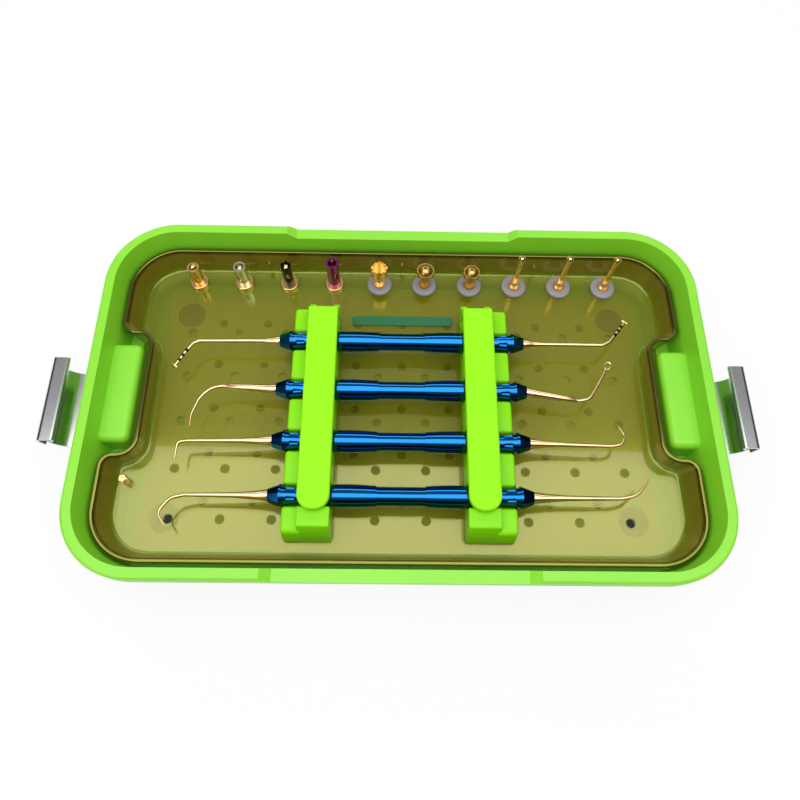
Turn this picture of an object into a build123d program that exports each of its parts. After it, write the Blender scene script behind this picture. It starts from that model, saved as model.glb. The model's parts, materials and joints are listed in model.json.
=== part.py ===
from build123d import *
from math import cos, pi, radians, sin
import os

# Implant surgical kit: an open moulded case, a lift-out tray with drain holes, two silicone
# holders with straps over four double-ended instruments, and a row of ten tools at the back.
# Millimetres. X runs along the case, +Y points to the back and the feet stand on Z = 0.

# Clearances
pin_gap = 0.05  # radial gap round a pin, shaft or peg
seat_gap = 0.05  # gap under a flat seat between moving pieces
soft_gap = 0.3  # gap between curved or soft faces of different pieces

# Case
case_length = 248.0
case_width = 148.0
case_corner = 28.0
rim_height = 39.0
rim_width = 4.3
rim_band = 7.0
rim_step = 2.2
rim_round = 1.2
rim_dip = 3.0
dip_length = 92.0
dip_ramp = 4.0
outer_draft = 4.3
inner_draft = (3.5, 2.8)
foot_height = 4.0
case_floor = 3.0
tray_level = 18.0
ledge_width = 3.2

# Clip recesses in both ends of the case
recess_width = 36.0
recess_top = 27.0
recess_depth = 14.7
recess_wall = 2.5
recess_side = 3.0
recess_roof = 3.0
boss_round = 3.0

# Clips
clip_pin = 2.2
clip_pin_inset = 11.0
clip_sheet = 1.0
clip_barrel_wall = 1.05
clip_pin_grip = 1.6
clip_plate_gap = 1.4
clip_reach = 30.6
clip_bend = 9.0
clip_rise = 14.9
clip_lean = 3.8
clip_roll_bend = 1.5
clip_hook = 7.8
clip_lip_bend = 0.7
clip_lip = (2.6, -2.4)
clip_roll_extra = 1.6

# Feet
foot_inset = (28.5, 28.0)
foot_size = 14.0
foot_stem = 5.0
foot_head = 12.0
foot_head_height = 1.2
foot_dimple = 3.0

# Drain holes
tray_hole = 3.8
hole_pitch = 20.0
hole_columns = 10
hole_rows = 5
hole_row_middle = -9.0
case_hole = 4.0
case_hole_pitch = 20.35
case_hole_shift = (0.5, 1.6)

# Tray
tray_floor = 2.0
tray_depth = 10.5
tray_wall = 2.0
tray_gap = 1.2
tray_draft = (3.5, 2.9)
tray_fillet = 1.5
lip_round = 0.7
notch_gap = 2.5
notch_side_gap = 4.5
notch_round = 6.0
notch_mouth = 5.5
nub_size = 1.8
nub_reach = 1.4
nub_spacing = 59.0
nub_height = 5.0

# Stud and label
stud_inset = (15.8, 39.5)
stud_size = 3.2
stud_height = 5.0
stud_slot = 0.6
label_shift = 0.4
label_inset = 36.2
label_size = (44.3, 4.4)
label_thickness = 0.6

# Instruments
row_middle = -9.3
row_pitch = 21.6
row_count = 4
axis_height = 9.5
waist_radius = 3.65
waist_length = 18.8
ring_radius = 4.1
ring_length = 1.2
bulge_radius = 4.45
bulge_middle = 18.0
bulge_end = 25.0
neck_radius = 3.2
neck_length = 6.8
neck_flare = 0.55
dimple_radius = 1.1
dimple_length = 2.4
dimple_depth = 0.45
dimple_count = 6
collar_radius = 4.3
collar_length = 0.8
cone_length = 4.4
cone_facets = 8
cone_tip_radius = 2.65
bore_depth = 5.5
shank_radius = 1.6

# Holders and straps
strap_width = 12.3
strap_middles = (32.7, 31.3)
comb_edges = (45.0, 44.1)
comb_height = 10.5
comb_flare = 0.6
comb_round = 1.5
holder_inset = 16.5
holder_front_slope = 3.5
holder_chamfer = 2.0
strap_thickness = 3.0
strap_inset = 9.2
hinge_inset = 36.0
hinge_height = 8.0
hinge_pin = 2.2
hinge_radius = 2.4
ear_radius = 3.0
ear_width = 2.4
strap_run = 2.3

# Row of ten tools
tool_pitch = 20.0
tool_inset = 18.2
peg_size = 3.0
peg_depth = 3.5
disc_size = 8.5
disc_height = 2.0
post_size = 3.4
post_tops = (14.5, 14.1, 15.4, 15.1)
sleeve_tops = (13.0, 14.3, 15.9, 18.1)
sleeve_sizes = (5.1, 5.1, 4.4, 5.4)
window_size = (1.5, 5.0)
window_turns = (20.0, -15.0, 10.0, 35.0)
crown_sleeve = 3
crown_slots = 6
crown_slot = (0.9, 1.1)
grommet_head = 11.0
grommet_rise = 1.5
grommet_body = 7.0
grommet_ring = 8.6
grommet_ring_height = 1.5
grommet_drop = 6.0
tool_shank = 3.2
shank_drop = 10.5
seat_size = 5.1
seat_height = 1.3
cup_size = 7.0
cup_wall = 0.6
cup_bottom = 9.5
cup_top = 15.6
cup_cone = 2.5
tooth_count = 10
tooth_depth = 1.3
dome_sizes = (7.4, 6.9)
dome_tops = (17.0, 16.2)
dome_skirt = 2.8
dome_hole = 1.4
dome_ring = (4.8, 1.0)
drill_tops = (25.0, 25.4, 25.2)
drill_necks = (1.7, 2.1, 2.1)
drill_ball = 3.3
drill_hole = 0.8
drill_collar = 3.9
drill_collar_top = 6.6
flute_depth = 0.35

# Levels and places that follow from the sizes above
foot_x = case_length / 2 - foot_inset[0]
foot_y = case_width / 2 - foot_inset[1]
stud_x = stud_inset[0] - case_length / 2
stud_y = stud_inset[1] - case_width / 2
label_place = (label_shift, case_width / 2 - label_inset)
tool_y = case_width / 2 - tool_inset
hinge_y = case_width / 2 - hinge_inset
strap_back = hinge_y - strap_run
holder_front = holder_inset - case_width / 2
strap_front = holder_front + strap_inset
floor_top = foot_height + case_floor
ledge_top = tray_level - seat_gap
tray_top_floor = tray_level + tray_floor
lip_top = tray_top_floor + tray_depth
axis_z = tray_top_floor + axis_height
inner_half = (case_length / 2 - rim_width, case_width / 2 - rim_width)
ledge_half = (inner_half[0] - inner_draft[0], inner_half[1] - inner_draft[1])
cavity_half = (
    ledge_half[0] - tray_wall - ledge_width,
    ledge_half[1] - tray_wall - ledge_width,
)
boss_face = case_length / 2 - recess_depth - recess_wall
boss_half = recess_width / 2 + recess_side
boss_top = recess_top + recess_roof
clip_axis_x = case_length / 2 - clip_pin_inset
clip_barrel = clip_pin / 2 + pin_gap + clip_barrel_wall
clip_axis_z = foot_height + clip_plate_gap - clip_sheet / 2 + clip_barrel
rows = [row_middle + row_pitch * (1.5 - n) for n in range(row_count)]
tool_places = [tool_pitch * (n - 4.5) for n in range(10)]
strap_under = axis_z + bulge_radius + soft_gap
hinge_z = tray_top_floor + hinge_height

os.makedirs("parts", exist_ok=True)


def save(piece, label):
    """Name a finished piece and write it to its own file."""
    piece.part.label = label
    export_step(piece.part, f"parts/{label}.step")


def slope_at(low, high, bottom, top, height):
    """Half-size of a drafted wall at a height between its bottom and top."""
    return low + (high - low) * (height - bottom) / (top - bottom)


def rounded(half, corner):
    """Rounded rectangle from its half-sizes."""
    return RectangleRounded(2 * half[0], 2 * half[1], corner)


# Case

# The two rounded blocks that hide the clip recesses
with BuildPart() as bosses:
    with BuildSketch(Plane.XY.offset(floor_top)):
        for end in (-1, 1):
            with Locations((end * case_length / 2, 0)):
                RectangleRounded(case_length - 2 * boss_face, 2 * boss_half, boss_round)
    extrude(amount=boss_top - floor_top)
    fillet(bosses.edges().group_by(Axis.Z)[-1], boss_round * 0.9)

# Space inside the case: a drafted upper part over the ledge and a lower part over the floor
with BuildPart() as case_space:
    with BuildSketch(Plane.XY.offset(ledge_top)):
        rounded(ledge_half, case_corner - rim_width - inner_draft[0])
    with BuildSketch(Plane.XY.offset(rim_height)):
        rounded(inner_half, case_corner - rim_width)
    loft()
    with BuildSketch(Plane.XY.offset(floor_top)):
        rounded(cavity_half, case_corner / 2)
    extrude(amount=ledge_top - floor_top)
    add(bosses.part, mode=Mode.SUBTRACT)

with BuildPart() as base_shell:
    with BuildSketch(Plane.XY.offset(foot_height)):
        low_half = (
            case_length / 2 - rim_step - outer_draft,
            case_width / 2 - rim_step - outer_draft,
        )
        rounded(low_half, case_corner - rim_step - outer_draft)
    with BuildSketch(Plane.XY.offset(rim_height - rim_band)):
        rounded(
            (case_length / 2 - rim_step, case_width / 2 - rim_step), case_corner - rim_step
        )
    loft()
    with BuildSketch(Plane.XY.offset(rim_height - rim_band)):
        rounded((case_length / 2, case_width / 2), case_corner)
    extrude(amount=rim_band)
    fillet(base_shell.edges().group_by(Axis.Z)[-1], rim_round)
    add(case_space.part, mode=Mode.SUBTRACT)
    # The rim is lower along the middle of both long sides
    with BuildSketch(Plane.XZ):
        with BuildLine():
            Polyline(
                (-dip_length / 2 - dip_ramp, rim_height + rim_dip),
                (-dip_length / 2 - dip_ramp, rim_height),
                (-dip_length / 2, rim_height - rim_dip),
                (dip_length / 2, rim_height - rim_dip),
                (dip_length / 2 + dip_ramp, rim_height),
                (dip_length / 2 + dip_ramp, rim_height + rim_dip),
                close=True,
            )
        make_face()
    extrude(amount=case_width, both=True, mode=Mode.SUBTRACT)
    # Clip recesses, open to the outside and below
    with BuildSketch(Plane.XY.offset(foot_height)):
        for end in (-1, 1):
            with Locations((end * (case_length / 2 - recess_depth / 2), 0)):
                Rectangle(recess_depth, recess_width)
    extrude(amount=recess_top - foot_height, mode=Mode.SUBTRACT)
    # Bores for the clip pins
    with BuildSketch(Plane.XZ):
        for end in (-1, 1):
            with Locations((end * clip_axis_x, clip_axis_z)):
                Circle(clip_pin / 2 + pin_gap)
    extrude(amount=recess_width / 2 + clip_pin_grip + pin_gap, both=True, mode=Mode.SUBTRACT)
    # Drain holes and the holes for the feet
    with BuildSketch(Plane.XY.offset(foot_height)):
        with Locations(case_hole_shift):
            with GridLocations(case_hole_pitch, case_hole_pitch, hole_columns - 1, hole_rows):
                Circle(case_hole / 2)
        with GridLocations(2 * foot_x, 2 * foot_y, 2, 2):
            Circle(foot_stem / 2 + pin_gap)
    extrude(amount=case_floor, mode=Mode.SUBTRACT)
save(base_shell, "base_shell")

foot_number = 0
for side in (-1, 1):
    for end in (-1, 1):
        foot_number += 1
        with BuildPart() as foot:
            with BuildSketch(Plane.XY):
                with Locations((side * foot_x, end * foot_y)):
                    Circle(foot_size / 2)
            extrude(amount=foot_height)
            fillet(foot.edges().group_by(Axis.Z)[0], foot_height / 4)
            with BuildSketch(Plane.XY.offset(foot_height)):
                with Locations((side * foot_x, end * foot_y)):
                    Circle(foot_stem / 2)
            extrude(amount=case_floor)
            with BuildSketch(Plane.XY.offset(floor_top)):
                with Locations((side * foot_x, end * foot_y)):
                    Circle(foot_head / 2)
            extrude(amount=foot_head_height)
            fillet(foot.edges().group_by(Axis.Z)[-1], foot_head_height / 2)
            with BuildSketch(Plane.XY.offset(floor_top + foot_head_height)):
                with Locations((side * foot_x, end * foot_y)):
                    Circle(foot_dimple / 2)
            extrude(amount=-foot_head_height * 2, mode=Mode.SUBTRACT)
        save(foot, f"foot_{foot_number}")


# Clips

for side, name in ((-1, "left"), (1, "right")):
    plate_z = clip_axis_z - clip_barrel + clip_sheet / 2
    clip_path = [
        (side * clip_axis_x, plate_z),
        (side * (clip_axis_x + clip_reach), plate_z),
        (side * (clip_axis_x + clip_reach + clip_lean), plate_z + clip_rise),
        (side * (clip_axis_x + clip_reach + clip_lean - clip_hook), plate_z + clip_rise),
        (
            side * (clip_axis_x + clip_reach + clip_lean - clip_hook + clip_lip[0]),
            plate_z + clip_rise + clip_lip[1],
        ),
    ]
    clip_bends = [clip_bend, clip_roll_bend, clip_lip_bend]
    hook_level = plate_z + clip_bend
    with BuildPart() as latch:
        with BuildSketch(Plane.XZ):
            with BuildLine():
                clip_line = FilletPolyline(*clip_path, radius=clip_bends)
            trace(line_width=clip_sheet)
            with Locations((side * clip_axis_x, clip_axis_z)):
                Circle(clip_barrel)
        extrude(amount=recess_width / 2 - clip_sheet - pin_gap * 8, both=True)
        # The rolled edge and hook are wider than the plate
        with BuildSketch(Plane.XZ):
            with BuildLine():
                FilletPolyline(*clip_path, radius=clip_bends)
            trace(line_width=clip_sheet)
            with Locations((side * (clip_axis_x + clip_reach), hook_level + clip_rise)):
                Rectangle(2 * clip_reach, 2 * clip_rise, mode=Mode.INTERSECT)
        extrude(amount=recess_width / 2 - clip_sheet - pin_gap * 8 + clip_roll_extra, both=True)
        with BuildSketch(Plane.XZ):
            with Locations((side * clip_axis_x, clip_axis_z)):
                Circle(clip_pin / 2 + pin_gap)
        extrude(amount=recess_width, both=True, mode=Mode.SUBTRACT)
    save(latch, f"latch_{name}")

    with BuildPart() as latch_pin:
        with BuildSketch(Plane.XZ):
            with Locations((side * clip_axis_x, clip_axis_z)):
                Circle(clip_pin / 2)
        extrude(amount=recess_width / 2 + clip_pin_grip, both=True)
    save(latch_pin, f"latch_pin_{name}")


# Tray

lip_half = tuple(
    slope_at(ledge_half[n], inner_half[n], ledge_top, rim_height, lip_top) - tray_gap
    for n in (0, 1)
)
tray_low_half = tuple(
    lip_half[n] - tray_draft[n] * (lip_top - tray_level) / tray_depth for n in (0, 1)
)
lip_corner = case_corner - rim_width - tray_gap - 1.5
notch_face = boss_face - notch_gap
notch_half = boss_half + notch_side_gap


def mouth_edges(piece, half):
    """The four upright edges where the notches of half-width half meet the end walls."""
    found = []
    for edge in piece.edges():
        middle = edge.center()
        tall = edge.bounding_box().size.Z > tray_depth / 2
        if tall and abs(abs(middle.Y) - half) < pin_gap and abs(middle.X) > notch_face + notch_round:
            found.append(edge)
    return found


# Space inside the tray, with the walls round the two end notches left standing
with BuildPart() as tray_space:
    with BuildSketch(Plane.XY.offset(tray_top_floor)):
        rounded(
            (lip_half[0] - tray_wall - tray_draft[0], lip_half[1] - tray_wall - tray_draft[1]),
            lip_corner - tray_wall - tray_draft[0],
        )
    with BuildSketch(Plane.XY.offset(lip_top)):
        rounded((lip_half[0] - tray_wall, lip_half[1] - tray_wall), lip_corner - tray_wall)
    loft()
    with BuildSketch(Plane.XY.offset(tray_top_floor)):
        for end in (-1, 1):
            with Locations((end * case_length / 2, 0)):
                RectangleRounded(
                    case_length - 2 * (notch_face - tray_wall),
                    2 * (notch_half + tray_wall),
                    notch_round + tray_wall,
                )
    extrude(amount=tray_depth, mode=Mode.SUBTRACT)
    fillet(mouth_edges(tray_space, notch_half + tray_wall), notch_mouth - tray_wall)
    fillet(tray_space.edges().group_by(Axis.Z)[0], tray_fillet)

with BuildPart() as tray:
    with BuildSketch(Plane.XY.offset(tray_level)):
        rounded(tray_low_half, lip_corner - tray_draft[0])
    with BuildSketch(Plane.XY.offset(lip_top)):
        rounded(lip_half, lip_corner)
    loft()
    with BuildSketch(Plane.XY.offset(tray_level)):
        for end in (-1, 1):
            with Locations((end * case_length / 2, 0)):
                RectangleRounded(case_length - 2 * notch_face, 2 * notch_half, notch_round)
    extrude(amount=tray_floor + tray_depth, mode=Mode.SUBTRACT)
    fillet(mouth_edges(tray, notch_half), notch_mouth)
    add(tray_space.part, mode=Mode.SUBTRACT)
    fillet(tray.edges().group_by(Axis.Z)[-1], lip_round)
    # Three small nubs on the back wall
    nub_z = tray_top_floor + nub_height
    nub_wall = slope_at(
        lip_half[1] - tray_wall - tray_draft[1], lip_half[1] - tray_wall, tray_top_floor, lip_top, nub_z
    )
    with BuildSketch(Plane.XZ.offset(-(nub_wall - nub_reach))):
        with Locations(*((n * nub_spacing, nub_z) for n in (-1, 0, 1))):
            Circle(nub_size / 2)
    extrude(amount=-(nub_reach + tray_wall / 2))
    # Drain holes, pegs of the posts and grommets
    with BuildSketch(Plane.XY.offset(tray_level)):
        with Locations((0, hole_row_middle)):
            with GridLocations(hole_pitch, hole_pitch, hole_columns, hole_rows):
                Circle(tray_hole / 2)
        with Locations(*((x, tool_y) for x in tool_places[:4])):
            Circle(peg_size / 2 + pin_gap)
        with Locations(*((x, tool_y) for x in tool_places[4:])):
            Circle(grommet_body / 2 + pin_gap)
    extrude(amount=tray_floor, mode=Mode.SUBTRACT)
save(tray, "tray")

with BuildPart() as tray_stud:
    with BuildSketch(Plane.XY.offset(tray_top_floor)):
        with Locations((stud_x, stud_y)):
            Circle(stud_size / 2)
    extrude(amount=stud_height)
    chamfer(tray_stud.edges().group_by(Axis.Z)[-1], stud_slot / 2)
    with BuildSketch(Plane.XY.offset(tray_top_floor + stud_height)):
        with Locations((stud_x, stud_y)):
            Rectangle(stud_size, stud_slot)
            Rectangle(stud_slot, stud_size)
    extrude(amount=-2 * stud_slot, mode=Mode.SUBTRACT)
save(tray_stud, "tray_stud")

with BuildPart() as label_plate:
    with BuildSketch(Plane.XY.offset(tray_top_floor)):
        with Locations(label_place):
            SlotOverall(*label_size)
    extrude(amount=label_thickness)
save(label_plate, "label_plate")


# Silicone holders with their straps

holder_top = strap_under - soft_gap
comb_top = tray_top_floor + comb_height
strap_top = strap_under + strap_thickness
ear_inner = strap_width / 2 - ear_width
knuckle_half = ear_inner - soft_gap
holder_step = hinge_y - ear_radius - soft_gap - hinge_radius
shoulder_z = hinge_z + ear_radius + 2 * soft_gap
slope_reach = hinge_y + hinge_radius - strap_back
shoulder_y = strap_back + slope_reach * (strap_top - shoulder_z) / (strap_top - hinge_z)

for side, name, strap_middle, comb_edge in (
    (-1, "left", strap_middles[0], comb_edges[0]),
    (1, "right", strap_middles[1], comb_edges[1]),
):
    holder_edge = strap_middle + strap_width / 2
    comb_width = comb_edge - holder_edge
    with BuildPart() as holder:
        # Block under the strap
        with BuildSketch(Plane.YZ.offset(side * strap_middle)):
            with BuildLine():
                Polyline(
                    (holder_front, tray_top_floor),
                    (holder_front, tray_top_floor + soft_gap),
                    (holder_front + holder_front_slope, holder_top),
                    (strap_back - strap_thickness, holder_top),
                    (holder_step, hinge_z + hinge_radius),
                    (holder_step, tray_top_floor),
                    close=True,
                )
            make_face()
        extrude(amount=strap_width / 2, both=True)
        chamfer(
            [
                edge
                for edge in holder.edges()
                if edge.center().Y < holder_front + holder_front_slope
                and abs(edge.center().X - side * (strap_middle - strap_width / 2)) < pin_gap
                and edge.center().Z > tray_top_floor + soft_gap
                and edge.center().Z < holder_top - soft_gap
            ],
            holder_chamfer,
        )
        # Ears of the strap hinge
        with BuildSketch(Plane.YZ.offset(side * strap_middle)):
            with Locations((hinge_y, hinge_z)):
                Circle(ear_radius)
            with BuildLine():
                Polyline(
                    (holder_step, tray_top_floor),
                    (holder_step, hinge_z),
                    (hinge_y + ear_radius, hinge_z),
                    (hinge_y + ear_radius, tray_top_floor),
                    close=True,
                )
            make_face()
        extrude(amount=strap_width / 2, both=True)
        with BuildSketch(Plane.YZ.offset(side * strap_middle)):
            with Locations((hinge_y, hinge_z)):
                Rectangle(
                    2 * (hinge_y - holder_step), 2 * (hinge_radius + soft_gap)
                )
            with Locations((hinge_y, hinge_z + hinge_height)):
                Rectangle(2 * (hinge_y - holder_step), 2 * hinge_height)
        extrude(amount=ear_inner, both=True, mode=Mode.SUBTRACT)
        with BuildSketch(Plane.YZ.offset(side * strap_middle)):
            with Locations((hinge_y, hinge_z)):
                Circle(hinge_pin / 2 + pin_gap)
        extrude(amount=strap_width, both=True, mode=Mode.SUBTRACT)
        # Comb on the outer side
        with BuildSketch(Plane.YZ.offset(side * (holder_edge + comb_width / 2))):
            with BuildLine():
                Polyline(
                    (holder_front, tray_top_floor),
                    (holder_front, tray_top_floor + soft_gap),
                    (holder_front + holder_front_slope / 2, comb_top),
                    (hinge_y, comb_top),
                    (hinge_y + ear_radius, tray_top_floor),
                    close=True,
                )
            make_face()
        extrude(amount=comb_width / 2, both=True)
        comb_rims = [
            edge
            for edge in holder.edges().filter_by(Axis.Y)
            if abs(edge.center().X - side * comb_edge) < pin_gap
            and abs(edge.center().Z - comb_top) < pin_gap
        ]
        fillet(comb_rims, comb_round)
        # Seats for the handles, open at the top
        with BuildSketch(Plane.YZ.offset(side * strap_middle)):
            for row in rows:
                with Locations((row, axis_z)):
                    Circle(bulge_radius + soft_gap)
                with Locations((row, axis_z + bulge_radius)):
                    Rectangle(2 * (bulge_radius + soft_gap), 2 * bulge_radius)
        extrude(amount=strap_width / 2, both=True, mode=Mode.SUBTRACT)
        with BuildSketch(Plane.YZ.offset(side * (holder_edge + comb_width / 2))):
            for row in rows:
                seat = neck_radius + neck_flare + soft_gap
                with Locations((row, axis_z)):
                    Circle(seat)
                with BuildLine():
                    Polyline(
                        (row - seat, axis_z),
                        (row - seat - comb_flare, comb_top + soft_gap),
                        (row + seat + comb_flare, comb_top + soft_gap),
                        (row + seat, axis_z),
                        close=True,
                    )
                make_face()
        extrude(amount=comb_width / 2, both=True, mode=Mode.SUBTRACT)
    save(holder, f"holder_{name}")

    with BuildPart() as strap:
        with BuildSketch(Plane.XY.offset(strap_under)):
            with Locations((side * strap_middle, strap_front + strap_width / 2)):
                Circle(strap_width / 2)
            with Locations(
                (side * strap_middle, (strap_front + strap_width / 2 + strap_back) / 2)
            ):
                Rectangle(strap_width, strap_back - strap_front - strap_width / 2)
        extrude(amount=strap_thickness)
        # Sloping end and knuckle between the ears
        with BuildSketch(Plane.YZ.offset(side * strap_middle)):
            with BuildLine():
                Polyline(
                    (strap_back, strap_top),
                    (hinge_y + hinge_radius, hinge_z),
                    (hinge_y - hinge_radius, hinge_z),
                    (strap_back - strap_thickness / 2, strap_under),
                    (strap_back - strap_thickness / 2, strap_top),
                    close=True,
                )
            make_face()
            with Locations((hinge_y, hinge_z)):
                Circle(hinge_radius)
        extrude(amount=knuckle_half, both=True)
        with BuildSketch(Plane.YZ.offset(side * strap_middle)):
            with BuildLine():
                Polyline(
                    (strap_back, strap_top),
                    (shoulder_y, shoulder_z),
                    (strap_back, shoulder_z),
                    (strap_back - strap_thickness / 2, strap_under),
                    (strap_back - strap_thickness / 2, strap_top),
                    close=True,
                )
            make_face()
        extrude(amount=strap_width / 2, both=True)
        with BuildSketch(Plane.YZ.offset(side * strap_middle)):
            with Locations((hinge_y, hinge_z)):
                Circle(hinge_pin / 2 + pin_gap)
        extrude(amount=strap_width, both=True, mode=Mode.SUBTRACT)
    save(strap, f"strap_{name}")

    with BuildPart() as strap_pin:
        with BuildSketch(Plane.YZ.offset(side * strap_middle)):
            with Locations((hinge_y, hinge_z)):
                Circle(hinge_pin / 2)
        extrude(amount=strap_width / 2, both=True)
    save(strap_pin, f"strap_pin_{name}")


# Instruments: turned handles with a bore at each end

collar_start = max(comb_edges) + soft_gap
neck_start = collar_start - neck_length
cone_start = collar_start + collar_length
cone_end = cone_start + cone_length

# Oval finger dimples round both necks, about the X axis
with BuildPart() as dimples:
    dimple_reach = neck_radius + neck_flare / 2 + dimple_radius - dimple_depth
    for side in (-1, 1):
        middle = side * (neck_start + collar_start - dimple_depth) / 2
        for turn in range(dimple_count):
            angle = radians(360 * turn / dimple_count)
            across = (dimple_reach * cos(angle), dimple_reach * sin(angle))
            with Locations((middle, *across)):
                Cylinder(dimple_radius, dimple_length, rotation=(0, 90, 0))
            with Locations(
                (middle - dimple_length / 2, *across), (middle + dimple_length / 2, *across)
            ):
                Sphere(dimple_radius)

for number, row in enumerate(rows, start=1):
    handle_plane = Plane((0, row, axis_z), x_dir=(1, 0, 0), z_dir=(0, -1, 0))
    with BuildPart() as handle:
        with BuildSketch(handle_plane):
            with BuildLine():
                Polyline(
                    (0, 0),
                    (0, waist_radius),
                    (waist_length / 2, waist_radius),
                    (waist_length / 2, ring_radius),
                    (waist_length / 2 + ring_length, ring_radius),
                )
                ThreePointArc(
                    (waist_length / 2 + ring_length, ring_radius),
                    (bulge_middle, bulge_radius),
                    (bulge_end, bulge_radius - pin_gap),
                )
                Polyline(
                    (bulge_end, bulge_radius - pin_gap),
                    (neck_start, neck_radius),
                    (collar_start, neck_radius + neck_flare),
                    (collar_start, collar_radius),
                    (cone_start, collar_radius),
                    (cone_start, 0),
                    (0, 0),
                )
            make_face()
        revolve(axis=Axis((0, row, axis_z), (1, 0, 0)))
        mirror(about=Plane.YZ)
        with Locations((0, row, axis_z)):
            add(dimples.part, mode=Mode.SUBTRACT)
        # Faceted cones at both ends, with bores for the tips
        for side in (-1, 1):
            with BuildSketch(Plane((side * cone_start, row, axis_z), z_dir=(side, 0, 0))):
                RegularPolygon(collar_radius, cone_facets)
            with BuildSketch(Plane((side * cone_end, row, axis_z), z_dir=(side, 0, 0))):
                RegularPolygon(cone_tip_radius, cone_facets)
            loft()
            with BuildSketch(Plane((side * cone_end, row, axis_z), z_dir=(side, 0, 0))):
                Circle(shank_radius + pin_gap)
            extrude(amount=-bore_depth, mode=Mode.SUBTRACT)
    save(handle, f"handle_{number}")

# Bent ends of the eight tips. Each has the corners of its thin part, from the end of the
# tapered shank on, as distance from the middle of the case and Y, and the kind of its end.
tip_routes = {
    "left_1": (((84.0, 22.6), (86.6, 21.4), (89.1, 17.7), (92.7, 11.3)), "foot"),
    "right_1": (((84.0, 23.1), (87.0, 24.6), (90.6, 28.8), (94.6, 34.0)), "foot"),
    "left_2": (((72.0, 2.6), (76.5, 1.8), (80.9, -2.1), (83.6, -9.8), (83.4, -14.3)), "point"),
    "right_2": (((72.0, -1.9), (76.2, -1.0), (80.4, 5.4), (84.5, 12.5)), "spoon"),
    "left_3": (((83.0, -20.5), (87.3, -21.4), (87.5, -27.4)), "point"),
    "right_3": (((83.0, -20.8), (87.0, -19.4), (87.5, -13.9)), "foot"),
    "left_4": (((82.0, -41.8), (88.0, -43.2), (90.6, -48.6), (88.6, -52.4)), "point"),
    "right_4": (((84.0, -41.6), (90.4, -40.8), (95.5, -34.4)), "point"),
}
# Outline of each row's shank, as (distance from the cone, radius), and the radius of its thin part
tip_outlines = (
    ((0.0, 2.3), (2.5, 1.6), (6.5, 1.05)),
    ((0.0, 2.3), (3.0, 1.95), (11.5, 1.7), (20.0, 1.25)),
    ((0.0, 2.3), (3.5, 1.75), (10.5, 1.2)),
    ((0.0, 2.3), (3.5, 1.75), (10.5, 1.25)),
)
blade_radii = (0.9, 0.7, 0.7, 0.75)
flange_width = 1.4
tip_bend = 2.4
end_length = 4.4
point_length = 3.5
point_taper = 7.0
spoon_size = 3.4

for key, (route, ending) in tip_routes.items():
    name, number = key.split("_")
    side = -1 if name == "left" else 1
    row = rows[int(number) - 1]
    corners = [Vector(side * x, y, axis_z) for x, y in route]
    outline = tip_outlines[int(number) - 1]
    blade_radius = blade_radii[int(number) - 1]
    root = Vector(side * (cone_end - bore_depth + pin_gap), row, axis_z)
    mouth = Vector(side * (cone_end + flange_width / 2), row, axis_z)
    shank_way = (corners[0] - mouth).normalized()
    shank_length = (corners[0] - mouth).length - tip_bend
    bend_start = mouth + shank_way * shank_length
    end_way = (corners[-1] - corners[-2]).normalized()
    cross_way = end_way.cross(Vector(0, 0, 1))
    with BuildPart() as tip:
        with BuildSketch(Plane(root, z_dir=(side, 0, 0))):
            Circle(shank_radius)
        extrude(amount=bore_depth - pin_gap)
        with BuildSketch(Plane((side * cone_end, row, axis_z), z_dir=(side, 0, 0))):
            Circle(outline[0][1] + pin_gap)
        extrude(amount=flange_width)
        with BuildSketch(Plane(mouth, x_dir=shank_way, z_dir=(0, 0, 1))):
            with BuildLine():
                Polyline(
                    (0, 0), *outline, (shank_length, blade_radius), (shank_length, 0), close=True
                )
            make_face()
        revolve(axis=Axis(mouth, shank_way))
        with BuildLine():
            FilletPolyline(bend_start, *corners, radius=tip_bend)
        with BuildSketch(Plane(bend_start, z_dir=shank_way)):
            Circle(blade_radius)
        sweep()
        if ending == "foot":
            with BuildSketch(Plane(corners[-1] - cross_way * end_length / 2, z_dir=cross_way)):
                Circle(blade_radius)
            extrude(amount=end_length)
        elif ending == "spoon":
            with BuildSketch(Plane(corners[-1] - Vector(0, 0, blade_radius / 2))):
                Circle(spoon_size / 2)
            extrude(amount=blade_radius)
        else:
            with BuildSketch(Plane(corners[-1], z_dir=end_way)):
                Circle(blade_radius)
            extrude(amount=point_length, taper=point_taper)
    save(tip, f"tip_{key}")


# Row of ten tools: four posts with sleeves, then six tools in grommets

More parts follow.
